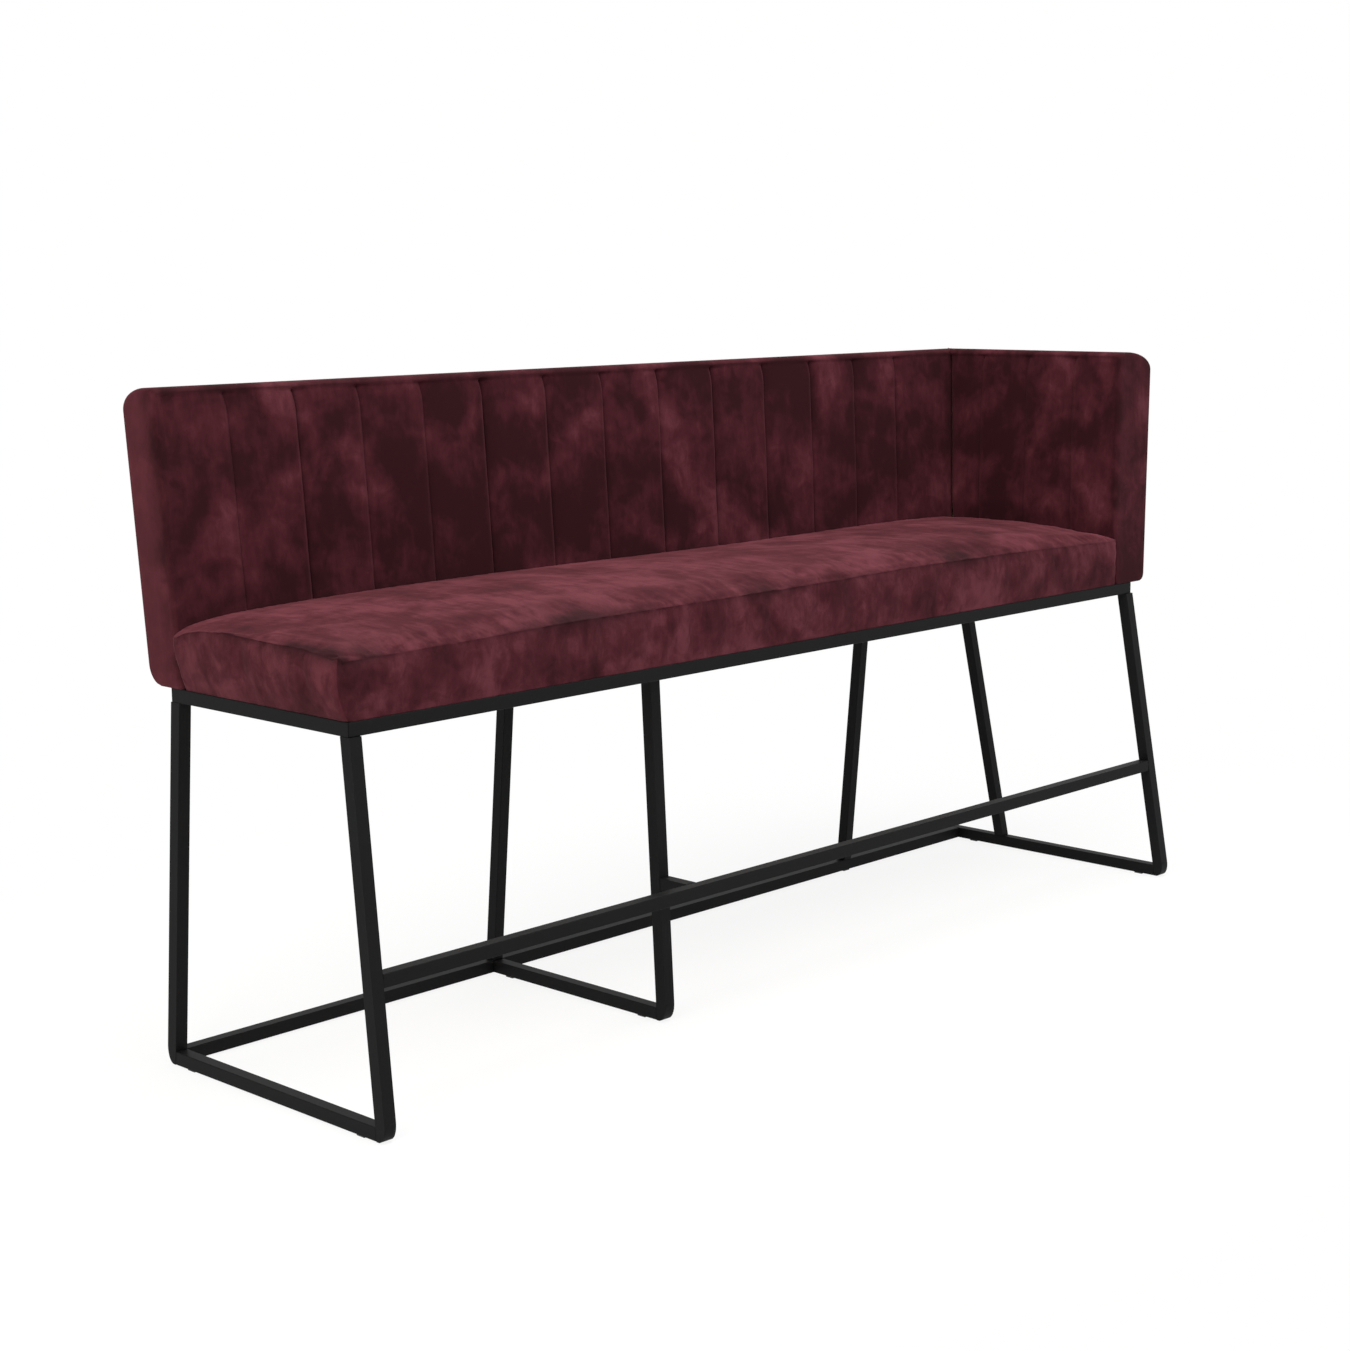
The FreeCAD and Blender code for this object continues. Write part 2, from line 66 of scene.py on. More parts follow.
TUBES = ["left_front_post", "left_rear_post", "mid_front_post", "mid_rear_post", "rear_support_post",
         "right_front_post", "right_rear_post", "left_floor_rail", "mid_floor_rail", "right_floor_rail",
         "floor_stretcher", "footrest_bar", "footrest_stub", "seat_front_rail", "seat_rear_rail",
         "seat_left_rail", "seat_right_rail", "mid_cross_rail", "second_cross_rail"]
TABS = ["deck_tabs", "back_tabs", "arm_tabs"]
SCREWS = ["deck_screws", "panel_screws"]
TIMBERS = ["back_bottom_rail", "back_top_rail", "back_uprights",
           "arm_bottom_rail", "arm_top_rail", "arm_uprights"]
BOARDS = ["seat_deck", "back_board", "arm_board"]

# Gap that the cushion keeps from the back and the arm
CLEARANCE = 0.0012
# How far a free point of the seat cover may move as it swells
SWELL_LIMIT = 0.005
# How far the cushion's foot stands above the seat frame, and how far in its hem turns under
FOOT_GAP = 0.00012
HEM_INSET = 0.0027
# Radius of a panel's front top edge and of the edges of its free end
FRONT_EDGE = 0.010
END_EDGE = 0.006

# Seams of the back: shares of the run from its first to its last seam, and how tightly each is drawn
BACK_SEAM_SHARES = np.array((0, 0.081, 0.159, 0.239, 0.32, 0.409, 0.493, 0.58, 0.669, 0.757, 0.84, 0.92, 1))
BACK_SEAM_PULLS = (0.5, 0.95, 0.7, 0.6, 1.0, 0.75, 0.85, 0.9, 0.95, 0.75, 0.85, 0.6, 0.7)

# Rows of a panel's free end: how far its edge has turned, and how far its face has closed
END_SHARES = [(1, share) for share in (1, 0.8, 0.6, 0.4, 0.2, 0)]
END_SHARES += [(share / 7, 0) for share in range(6, 0, -1)]

# Places of the columns across a channel, as shares of its width, closer together at its seams
CHANNEL_SHARES = np.array((0, 0.008, 0.02, 0.04, 0.07, 0.11, 0.17, 0.25, 0.35, 0.5, 0.65, 0.75, 0.84, 0.9,
                           0.94, 0.965, 0.98, 0.992))

# Heights of the seat's front seam and rear edge above the seat frame, at distances from its left end
FRONT_SEAM_AT = np.array((0, 0.04, 0.106, 0.2, 0.29, 0.35, 0.45, 0.6, 0.8, 0.95, 1.03, 1.12, 1.215, 1.31,
                          1.41, 1.516, 1.59, 1.7, 1.77))
FRONT_SEAM_HEIGHT = np.array((0.080, 0.0803, 0.0815, 0.0822, 0.0840, 0.0857, 0.0863, 0.0863, 0.0865, 0.0867,
                              0.0878, 0.0893, 0.0897, 0.0885, 0.0880, 0.0865, 0.0845, 0.082, 0.080))
REAR_EDGE_AT = np.array((0, 0.024, 0.036, 0.059, 0.105, 0.175, 0.25, 0.35, 0.45, 0.6, 0.75, 0.9, 1.04, 1.17,
                         1.31, 1.46, 1.6, 1.69, 1.78))
REAR_EDGE_HEIGHT = np.array((0.0775, 0.0865, 0.0893, 0.0930, 0.0975, 0.1005, 0.1027, 0.1045, 0.1055, 0.1060,
                             0.1053, 0.1040, 0.1030, 0.1027, 0.1037, 0.1053, 0.1055, 0.1038, 0.1005))

# How much the seam of the seat's open end rises above the straight blend, at distances from the front
END_SEAM_AT = np.array((0, 0.034, 0.08, 0.134, 0.19, 0.25, 0.305, 0.335, 0.3535, 0.372))
END_SEAM_RISE = np.array((0, 0.006, 0.0104, 0.0113, 0.014, 0.0175, 0.018, 0.0155, 0.0115, 0.003))

# Where the front seam is drawn tight: distance from the left end, half width and strength
SEAM_PULLS = ((0.05, 0.06, 0.45), (0.42, 0.09, 0.85), (0.82, 0.07, 0.6), (1.31, 0.09, 0.75))


class BanquetteSizes(bpy.types.PropertyGroup):
    """Sizes that shape the upholstery."""

    recline: FloatProperty(name="Back recline", description="How far the back leans for each metre of height",
                           default=0.10)
    arm_lean: FloatProperty(name="Arm lean", description="How far the arm leans out for each metre of height",
                            default=0.112)
    arm_rake: FloatProperty(name="Arm rake",
                            description="How far the arm's front end leans back for each metre", default=0.06)
    panel_height: FloatProperty(name="Panel height",
                                description="Height of back and arm above the seat frame",
                                default=0.4185, unit="LENGTH")
    back_thickness: FloatProperty(name="Back thickness", description="Thickness of the back", default=0.080,
                                  unit="LENGTH")
    arm_thickness: FloatProperty(name="Arm thickness", description="Thickness of the arm", default=0.105,
                                 unit="LENGTH")
    back_top_run: FloatProperty(name="Back top run",
                                description="How far in the back's rear top edge starts to fall",
                                default=0.060, unit="LENGTH")
    back_top_drop: FloatProperty(name="Back top drop", description="How far the back's rear top edge falls",
                                 default=0.032, unit="LENGTH")
    arm_top_run: FloatProperty(name="Arm top run",
                               description="How far in the arm's outer top edge starts to fall",
                               default=0.082, unit="LENGTH")
    arm_top_drop: FloatProperty(name="Arm top drop", description="How far the arm's outer top edge falls",
                                default=0.032, unit="LENGTH")
    back_first_channel: FloatProperty(name="First back channel",
                                      description="Width of the back's first channel",
                                      default=0.126, unit="LENGTH")
    back_last_channel: FloatProperty(name="Last back channel",
                                     description="Width of the channel at the corner",
                                     default=0.151, unit="LENGTH")
    seam_fan: FloatProperty(name="Seam fan", description="How far the last back seam leans for each metre",
                            default=0.08)
    arm_channel: FloatProperty(name="Arm channel", description="Width of an arm channel", default=0.104,
                               unit="LENGTH")
    channel_depth: FloatProperty(name="Channel depth", description="Depth of a sewn channel's valley",
                                 default=0.0055, unit="LENGTH")
    skin: FloatProperty(name="Cover thickness", description="Thickness of velvet with its wadding",
                        default=0.005, unit="LENGTH")
    seam_draw: FloatProperty(name="Seam draw", description="How far the seat's seams are drawn in",
                             default=0.0022, unit="LENGTH")
    arm_tuck: FloatProperty(name="Arm tuck",
                            description="How far the arm's inner side gives way at the cushion's foot",
                            default=0.013, min=0.0, max=0.015, unit="LENGTH")
    end_belly: FloatProperty(name="End belly",
                             description="How far the seat's open end leans out at its seam",
                             default=0.014, min=0.0, max=0.03, unit="LENGTH")
    seat_corner: FloatProperty(name="Seat corner", description="Radius of the seat's upright corners",
                               default=0.010, unit="LENGTH")
    cover_mass: FloatProperty(name="Cover mass",
                              description="Mass of each point of the seat cover as it swells", default=0.02)
    cover_excess: FloatProperty(name="Cover excess", description="How much larger the seat cover is cut",
                                default=0.012)
    tube_round: FloatProperty(name="Tube edge", description="Radius along the edges of the steel tubes",
                              default=0.0014, unit="LENGTH")


class BanquetteColours(bpy.types.PropertyGroup):
    """Colours of the finishes."""

    velvet_deep: FloatVectorProperty(name="Velvet, crushed", description="Where the pile lies away", size=3,
                                     subtype="COLOR", default=(0.0170, 0.0030, 0.0044))
    velvet: FloatVectorProperty(name="Velvet", description="Main colour of the velvet", size=3,
                                subtype="COLOR", default=(0.0400, 0.0072, 0.0110))
    velvet_pale: FloatVectorProperty(name="Velvet, brushed", description="Where the pile catches the light",
                                     size=3, subtype="COLOR", default=(0.0880, 0.0208, 0.0288))
    coat: FloatVectorProperty(name="Powder coat", description="Colour of the steel base", size=3,
                              subtype="COLOR", default=(0.0048, 0.0048, 0.0052))
    timber: FloatVectorProperty(name="Timber", description="Colour of the softwood frames", size=3,
                                subtype="COLOR", default=(0.50, 0.33, 0.18))
    plywood: FloatVectorProperty(name="Plywood", description="Colour of the boards", size=3, subtype="COLOR",
                                 default=(0.54, 0.38, 0.22))


class Value:
    """A shader socket that can be used in sums."""

    def __init__(self, recipe, socket):
        self.recipe = recipe
        self.socket = socket

    def __add__(self, other):
        return self.recipe.maths("ADD", self, other)

    def __radd__(self, other):
        return self.recipe.maths("ADD", other, self)

    def __sub__(self, other):
        return self.recipe.maths("SUBTRACT", self, other)

    def __rsub__(self, other):
        return self.recipe.maths("SUBTRACT", other, self)

    def __mul__(self, other):
        return self.recipe.maths("MULTIPLY", self, other)

    def __rmul__(self, other):
        return self.recipe.maths("MULTIPLY", other, self)


class Recipe:
    """A material or a world that is written node by node."""

    def __init__(self, owner):
        self.owner = owner
        owner.use_nodes = True
        self.tree = owner.node_tree
        self.tree.nodes.clear()

    def node(self, kind, settings=None, sockets=None, out=0):
        """Adds a node: settings first, then values or links for its sockets, and gives one of its outputs."""
        made = self.tree.nodes.new(kind)
        for key, setting in (settings or {}).items():
            setattr(made, key, setting)
        for key, given in (sockets or {}).items():
            if isinstance(given, Value):
                self.tree.links.new(given.socket, made.inputs[key])
            else:
                made.inputs[key].default_value = given
        return Value(self, made.outputs[out]) if len(made.outputs) else None

    def maths(self, operation, first, second):
        """One step of arithmetic on values or numbers."""
        return self.node("ShaderNodeMath", {"operation": operation}, {0: first, 1: second})

    def coordinates(self, scale=(1, 1, 1)):
        """The piece's own coordinates in metres, stretched along the axes."""
        place = self.node("ShaderNodeTexCoord", out="Object")
        return self.node("ShaderNodeMapping", {}, {"Vector": place, "Scale": scale})

    def noise(self, vector, scale, detail=4.0, roughness=0.55, distortion=0.0):
        """Soft noise from 0 to 1 at so many features to the metre."""
        return self.node("ShaderNodeTexNoise", {}, {"Vector": vector, "Scale": scale, "Detail": detail,
                                                    "Roughness": roughness, "Distortion": distortion})

    def spread(self, value, low, high):
        """A value stretched so that low goes to 0 and high to 1, with soft ends."""
        return self.node("ShaderNodeMapRange", {"interpolation_type": "SMOOTHSTEP"},
                         {"Value": value, "From Min": low, "From Max": high})

    def blend(self, share, first, second):
        """A colour between two colours."""
        def colour(given):
            return given if isinstance(given, Value) else (*given, 1)
        return self.node("ShaderNodeMix", {"data_type": "RGBA"},
                         {0: share, 6: colour(first), 7: colour(second)}, out=2)

    def bump(self, height, strength, distance):
        """A surface normal from a height."""
        return self.node("ShaderNodeBump", {}, {"Height": height, "Strength": strength, "Distance": distance})

    def looked_at(self):
        """1 for rays from the camera, off glossy pieces and through clear ones, and 0 for the rest."""
        camera, glossy, clear = (self.node("ShaderNodeLightPath", out="Is " + kind + " Ray")
                                 for kind in ("Camera", "Glossy", "Transmission"))
        return self.maths("MAXIMUM", self.maths("MAXIMUM", camera, glossy), clear)

    def surface(self, sockets):
        """The finished surface."""
        shader = self.node("ShaderNodeBsdfPrincipled", {}, sockets)
        self.node("ShaderNodeOutputMaterial", {}, {"Surface": shader})
        return self.owner


def colours():
    return bpy.context.scene.banquette_colours


def sizes():
    return bpy.context.scene.banquette_sizes


def velvet(name, streak, painted_sheen, weights=(0.62, 0.2, 0.18)):
    """Crushed velvet: large soft patches, smaller mottling and fine streaks along one way of the pile.

    Patches of about 50 mm and mottling of about 15 mm add up to how far the pile leans, which picks a colour
    between crushed, plain and the pale colour where the pile catches the light. An offset given for each piece
    is added to the lean as painted sheen, lighter or darker for how the light falls on that piece. Streaks are
    the same noise stretched along the pile. Where the seam attribute is above zero it darkens the surface,
    mostly as painted shade along the seams; where it is below zero it paints light, mostly a highlight on the
    lips beside them.
    """
    recipe = Recipe(bpy.data.materials.new(name))
    plain = recipe.coordinates()
    along = recipe.coordinates(streak)
    patches = recipe.noise(plain, 9.5, 3.0, 0.5, 0.4)
    mottle = recipe.noise(plain, 34.0, 4.0, 0.6, 0.8)
    streaks = recipe.noise(along, 60.0, 4.0, 0.65, 0.25)
    pile = recipe.noise(along, 900.0, 2.0, 0.6)
    # The last term lightens or darkens the whole piece as painted sheen, for how the light falls on it.
    lean = patches * weights[0] + mottle * weights[1] + streaks * weights[2] + painted_sheen
    seam = recipe.node("ShaderNodeAttribute", {"attribute_name": "seam"}, out="Fac")
    # Above zero the seam attribute darkens, mostly as painted shade along the seams; below zero it paints light,
    # mostly a highlight on the lips beside them.
    stitched = recipe.maths("MAXIMUM", seam, 0.0)
    lip = recipe.maths("MAXIMUM", seam * -1.0, 0.0)
    deep = recipe.blend(recipe.spread(lean, 0.37, 0.52), colours().velvet_deep, colours().velvet)
    pale = recipe.blend(recipe.spread(lean, 0.48, 0.66), deep, colours().velvet_pale)
    worn = recipe.blend(recipe.spread(pile, 0.3, 0.8) * 0.15, pale, colours().velvet_deep)
    painted_lip_highlight = recipe.blend(lip * 0.6, worn, colours().velvet_pale)
    shaded = recipe.blend(stitched * 0.85, painted_lip_highlight, tuple(0.4 * c for c in colours().velvet_deep))
    height = pile * 0.5 + streaks * 0.5
    return recipe.surface({
        "Base Color": shaded,
        "Roughness": recipe.spread(lean, 0.3, 0.7) * -0.12 + 0.9,
        "Specular IOR Level": 0.06,
        "Sheen Weight": 0.08,
        "Sheen Roughness": 0.45,
        "Sheen Tint": (0.75, 0.26, 0.30, 1),
        "Normal": recipe.bump(height, 0.35, 0.0006),
    })


def powder_coat():
    """Satin powder coat: near-black, with fine orange peel and faint scuffs that are a little glossier."""
    recipe = Recipe(bpy.data.materials.new("powder_coat_black"))
    place = recipe.coordinates()
    peel = recipe.noise(place, 900.0, 2.0)
    cloud = recipe.noise(place, 9.0, 4.0, 0.6)
    scuff = recipe.spread(recipe.noise(recipe.coordinates((1, 1, 6)), 45.0, 5.0, 0.7), 0.6, 0.78)
    coat = colours().coat
    tone = recipe.blend(cloud, tuple(0.85 * c for c in coat), tuple(1.25 * c for c in coat))
    return recipe.surface({
        "Base Color": recipe.blend(scuff * 0.18, tone, (0.02, 0.02, 0.021)),
        "Roughness": 0.5 - scuff * 0.09 + cloud * 0.06,
        "Specular IOR Level": 0.07,
        "Normal": recipe.bump(peel, 0.12, 0.0002),
    })


def wood(name, colour, grain):
    """Sawn wood: rings as distorted bands along the grain, with fine fibres and a few darker streaks."""
    recipe = Recipe(bpy.data.materials.new(name))
    along = recipe.coordinates(grain)
    rings = recipe.noise(along, 22.0, 5.0, 0.6, 1.2)
    fibres = recipe.noise(along, 260.0, 3.0, 0.7)
    tone = recipe.blend(recipe.spread(rings, 0.3, 0.72), tuple(0.62 * c for c in colour), colour)
    return recipe.surface({
        "Base Color": recipe.blend(fibres * 0.3, tone, tuple(0.45 * c for c in colour)),
        "Roughness": 0.62 + fibres * 0.16,
        "Normal": recipe.bump(fibres, 0.3, 0.0004),
    })


def zinc():
    """Bright zinc plating with soft cloudiness."""
    recipe = Recipe(bpy.data.materials.new("zinc_plating"))
    cloud = recipe.noise(recipe.coordinates(), 300.0, 4.0)
    return recipe.surface({"Base Color": recipe.blend(cloud, (0.42, 0.43, 0.45), (0.62, 0.62, 0.6)),
                           "Metallic": 1.0, "Roughness": 0.28 + cloud * 0.2})


def glide_plastic():
    """Black moulded plastic with a faint scuffed grain."""
    recipe = Recipe(bpy.data.materials.new("glide_plastic_black"))
    grain = recipe.noise(recipe.coordinates(), 700.0, 3.0)
    return recipe.surface({"Base Color": recipe.blend(grain, (0.012, 0.012, 0.012), (0.03, 0.03, 0.03)),
                           "Roughness": 0.5 + grain * 0.2, "Normal": recipe.bump(grain, 0.2, 0.0003)})


def finish_nodes(names, material):
    """Gives CAD nodes a finish."""
    for name in names:
        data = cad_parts[name].data
        data.materials.clear()
        data.materials.append(material)


def smooth_line(at, values, x, window):
    """A line through stations, rounded by taking its mean over a window about each place."""
    offsets = np.linspace(-window, window, 9)
    return np.mean([np.interp(x + offset, at, values) for offset in offsets], axis=0)


def soft_waves(x, y, z, seed):
    """Slow unevenness between about -1 and 1: a sum of sines whose ways and phases follow from a seed."""
    rng = np.random.default_rng(seed)
    total = np.zeros(np.broadcast(x, y, z).shape)
    for length in (0.31, 0.23, 0.17, 0.12, 0.085, 0.06):
        way = rng.normal(size=3)
        way *= 2 * np.pi / length / np.linalg.norm(way)
        total += np.sin(way[0] * x + way[1] * y + way[2] * z + rng.uniform(0, 2 * np.pi)) * length / 0.31
    return total / 2.2


def grid_faces(index):
    """Quads over a grid of vertex numbers, turned the same way all over."""
    return np.stack([index[:-1, :-1], index[1:, :-1], index[1:, 1:], index[:-1, 1:]], axis=-1).reshape(-1, 4)


def make_piece(name, points, faces, materials, material_of=None, seam=None, held=None):
    """A mesh object at the origin: doubles are merged, normals point outwards and shading is smooth."""
    mesh = bpy.data.meshes.new(name)
    mesh.from_pydata(points.reshape(-1, 3).tolist(), [], faces.tolist())
    for material in materials:
        mesh.materials.append(material)
    if material_of is not None:
        mesh.polygons.foreach_set("material_index", material_of.astype(np.int32))
    for label, values in (("seam", seam), ("held", held)):
        layer = mesh.attributes.new(label, "FLOAT", "POINT")
        if values is not None:
            layer.data.foreach_set("value", values.ravel() * 1.0)
    work = bmesh.new()
    work.from_mesh(mesh)
    bmesh.ops.remove_doubles(work, verts=work.verts, dist=2e-5)
    bmesh.ops.dissolve_degenerate(work, edges=work.edges, dist=1e-6)
    bmesh.ops.recalc_face_normals(work, faces=work.faces)
    work.to_mesh(mesh)
    work.free()
    mesh.shade_smooth()
    piece = bpy.data.objects.new(name, mesh)
    bpy.context.scene.collection.objects.link(piece)
    return piece


def tucked(height):
    """How far the arm's inner side gives way to the cushion: most at its foot, nothing above the seat."""
    return sizes().arm_tuck * np.interp(height, (0, 0.08, 0.13), (1, 0.5, 0))


def swell(piece, held, limit):
    """Lets a sewn cover swell as cloth under pressure, and applies the result.

    Points that are held stay in place. The cover is cut a little large, so that it puckers along its seams.
    How far a point may move is capped, more tightly near the back, and the cushion stays clear of the leaning
    back and arm.
    """
    scene = bpy.context.scene
    points = np.empty(len(piece.data.vertices) * 3)
    piece.data.vertices.foreach_get("co", points)
    points = points.reshape(-1, 3)
    group = piece.vertex_groups.new(name="stitched")
    group.add(np.flatnonzero(held).tolist(), 1.0, "REPLACE")
    cloth = piece.modifiers.new("swelling", "CLOTH")
    settings = cloth.settings
    settings.quality = 6
    settings.mass = sizes().cover_mass
    settings.tension_stiffness = 12
    settings.compression_stiffness = 12
    settings.shear_stiffness = 6
    settings.bending_stiffness = 0.6
    settings.air_damping = 2
    settings.use_pressure = True
    settings.uniform_pressure_force = 4
    settings.shrink_min = -sizes().cover_excess
    settings.vertex_group_mass = "stitched"
    settings.effector_weights.gravity = 0
    cloth.point_cache.frame_start = 1
    cloth.point_cache.frame_end = 20
    for frame_number in range(1, 21):
        scene.frame_set(frame_number)
    swollen = piece.evaluated_get(bpy.context.evaluated_depsgraph_get())
    after = np.empty(points.size)
    swollen.data.vertices.foreach_get("co", after)
    piece.modifiers.remove(cloth)
    piece.vertex_groups.remove(group)
    scene.frame_set(1)
    move = after.reshape(-1, 3) - points
    length = np.linalg.norm(move, axis=1, keepdims=True)
    from_back = BACK_FRONT + sizes().recline * (points[:, 2:] - FRAME_TOP) - points[:, 1:2]
    allowed = limit * np.clip(from_back / 0.2, 0.1, 1)
    result = points + move * np.minimum(1, allowed / np.maximum(length, 1e-9))
    height = result[:, 2] - FRAME_TOP
    arm_at = ARM_INNER + sizes().arm_lean * height + tucked(height)
    back_at = BACK_FRONT + sizes().recline * height
    overhang = 0.002
    result[:, 0] = np.clip(result[:, 0], SEAT_LEFT - sizes().end_belly - overhang, arm_at - CLEARANCE)
    result[:, 1] = np.clip(result[:, 1], SEAT_FRONT - overhang, back_at - CLEARANCE)
    piece.data.vertices.foreach_set("co", result.ravel())
    piece.data.update()


def quarter(share):
    """How far a quarter round has turned in, from 1 at its edge to 0 where it ends: a circle's sagitta."""
    return 1 - np.sqrt(np.maximum(0, 1 - (1 - share) ** 2))


def panel_path(thickness, height, front_radius, rear_run, rear_drop, low_radius):
    """A panel's side outline as depth and height: up the front, over the top and down the rear.

    Front and rear use the same heights. Near the top the depth moves in by a circle's sagitta on the front and
    by a quarter of an ellipse on the rear, and near the bottom of the rear by a sagitta again.
    """
    turn = np.sin(np.linspace(0, np.pi / 2, 34))
    v = np.concatenate([np.linspace(0, 0.03, 12), np.linspace(0.038, height - 0.05, 40),
                        height - 0.046 * (1 - turn)])
    front = front_radius * quarter((height - v) / front_radius) * (v > height - front_radius)
    rear = thickness - rear_run * quarter((height - v) / rear_drop) * (v > height - rear_drop)
    rear -= low_radius * quarter(v / low_radius) * (v < low_radius)
    top = np.linspace(front[-1], rear[-1], 12)[1:-1]
    depth = np.concatenate([front, top, rear[::-1]])
    rise = np.concatenate([v, np.full(top.shape, height), v[::-1]])
    side = np.concatenate([np.zeros(v.shape), np.full(top.shape, 1), np.full(v.shape, 2)])
    return depth, rise, side


def end_row(start, depth, rise, thickness, height, turned, closed):
    """One row of a panel's free end, as its outline drawn in.

    The end's edge is a quarter round: as it turns, the row moves out along the panel and the outline draws
    in. Then the outline closes on the middle line of the end face. Its foot stays on the seat frame.
    """
    inset = END_EDGE * quarter(1 - turned)
    middle = thickness / 2
    w = middle + (depth - middle) * (1 - inset / middle) * (1 - closed)
    v = rise - inset * np.clip((rise - 0.03) / (height - 0.03), 0, 1)
    v = v + (np.minimum(v, height - middle) - v) * closed
    return start + END_EDGE * (1 - turned) + 0 * rise, w, v


def panel_surface(place, marks_at, end_at, thickness, height, rear_edge, hem, pulls, end_painted_light, top_shade,
                  seed):
    """A panel's cover: its side outline carried along it, with sewn channels on the front.

    Columns follow the seams. Across a channel the surface falls into each valley by an exponential of the
    distance from the seam, slowly to the right of a seam and quickly to its left, where a lip stands proud.
    The outline at the free end shrinks by a quarter round and then closes on the middle of the end face. Low
    on the rear the cover reaches at least as far out as its hem, behind the timber rail. The seam values that
    go with the points are painted shade along the seams and in the groove under the top edge, a painted
    highlight on the lips, painted light and shade on the free end, and painted shade on the strip along the
    top towards the free end, with a little painted light at its far end.
    """
    size = sizes()
    depth, rise, side = panel_path(thickness, height, FRONT_EDGE, *rear_edge)
    strip = height - 0.0085
    start, *inner_marks = marks_at(rise)
    last = end_at(rise, depth, side)
    bend = 0.007 * np.clip((rise - (height - 0.045)) / 0.035, 0, 1) ** 2 * (side < 2)
    seams = [mark - bend for mark in inner_marks]
    marks = np.array([start + 0.014] + seams + [last])
    channels = len(marks) - 1
    channel = np.append(np.repeat(np.arange(channels), len(CHANNEL_SHARES)), channels - 1)
    share = np.append(np.tile(CHANNEL_SHARES, channels), 1.0)[:, None]
    width = marks[channel + 1] - marks[channel]
    from_left = width * share
    from_right = width * (1 - share)
    u = marks[channel] + from_left
    left = np.array(pulls)[channel][:, None]
    right = np.array(pulls)[channel + 1][:, None]
    front = (side == 0) * np.clip((strip - rise) / 0.004, 0.0, 1)
    valley = left * np.exp(-from_left / 0.0085) + right * np.exp(-from_right / 0.0032)
    lip = right * np.exp(-((from_right - 0.0075) / 0.0035) ** 2)
    puff = (2 * share - 1) ** 2 * (0.5 * left + 0.5 * right)
    waves = soft_waves(u, depth[None, :], rise[None, :], seed)
    groove = np.exp(-((rise - strip) / 0.0022) ** 2) * (side == 0) * np.clip(0.6 + 0.5 * waves, 0.1, 1)
    sink = front * (size.channel_depth * valley + 0.0016 * puff - 0.0006 * lip + 0.0012) + 0.0012 * groove
    sink = sink + 0.0009 * (waves + 1) * (0.3 + 0.7 * (side != 1))
    w = np.where(side == 0, depth + sink, np.where(side == 2, depth - sink, depth + 0 * sink))
    w = np.where((side == 2) & (rise < 0.02), np.maximum(w, hem), w)
    v = np.where(side == 1, rise - sink, rise + 0 * sink)
    fresh = np.clip(0.75 + 0.45 * waves, 0.25, 1)
    # Painted shade along each seam's valley, and a painted highlight on the lip beside it.
    line = 0.75 * left * np.exp(-from_left / 0.005) + right * np.exp(-from_right / 0.0014)
    pale = right * np.exp(-((from_right - 0.0048) / 0.0019) ** 2)
    dark = np.clip(front * fresh * (line - 0.55 * pale), -1, 1)
    # Painted shade in the groove under the top edge.
    dark = np.where(groove > 0.05, np.maximum(dark, 0.55 * groove), dark)
    # Painted shade on the strip along the top towards the free end, and a little painted light at its far end.
    along_top = np.clip(1 - 1.3 * channel / channel.max(), -0.4, 1)[:, None]
    dark = dark + top_shade * (side < 2) * (rise > strip) * along_top
    rows = [end_row(start, depth, rise, thickness, height, *shares) for shares in END_SHARES]
    all_u = np.concatenate([[row[0] for row in rows], u])
    all_w = np.concatenate([[row[1] for row in rows], w])
    all_v = np.concatenate([[row[2] for row in rows], v])
    end_depth = all_w[:len(rows)]
    # Painted shade in a band along the front edge of the free end; over the rest of its face the given amount
    # paints light on the back's end and a little shade on the arm's.
    end_shade = 0.25 * np.exp(-end_depth / 0.010)
    end_shade -= end_painted_light * np.clip((end_depth - 0.010) / 0.03, 0, 1)
    seam = np.concatenate([end_shade, dark])
    return place(all_u, all_w, all_v), seam


def dress_panel(name, points, seam, material, nodes):
    """Makes a panel's cover a piece with some thickness, in place of its CAD solids."""
    index = np.arange(points.shape[0] * points.shape[1]).reshape(points.shape[:2])
    piece = make_piece(name, points, grid_faces(index), [material], None, seam)
    shell = piece.modifiers.new("wadding", "SOLIDIFY")
    shell.thickness = sizes().skin
    shell.offset = -1
    shell.use_even_offset = False
    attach(piece, "root")
    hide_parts(*nodes)
    return piece


def rounded_plan(x, y, low, high, radius):
    """Plan points of a rectangle pressed into one with round corners; the radius may change along it.

    In each corner's square the elliptical map of a square to a disc is used: each side is scaled by the root
    of one less half the other side squared.
    """
    centre_x = np.clip(x, low[0] + radius, high[0] - radius)
    centre_y = np.clip(y, low[1] + radius, high[1] - radius)
    p = (x - centre_x) / radius
    q = (y - centre_y) / radius
    return centre_x + radius * p * np.sqrt(1 - q * q / 2), centre_y + radius * q * np.sqrt(1 - p * p / 2)


def eased(count, ends):
    """Shares from 0 to 1, closer together towards both ends."""
    t = np.linspace(0, 1, count)
    return t - ends * (np.sin(2 * np.pi * t) / (2 * np.pi))


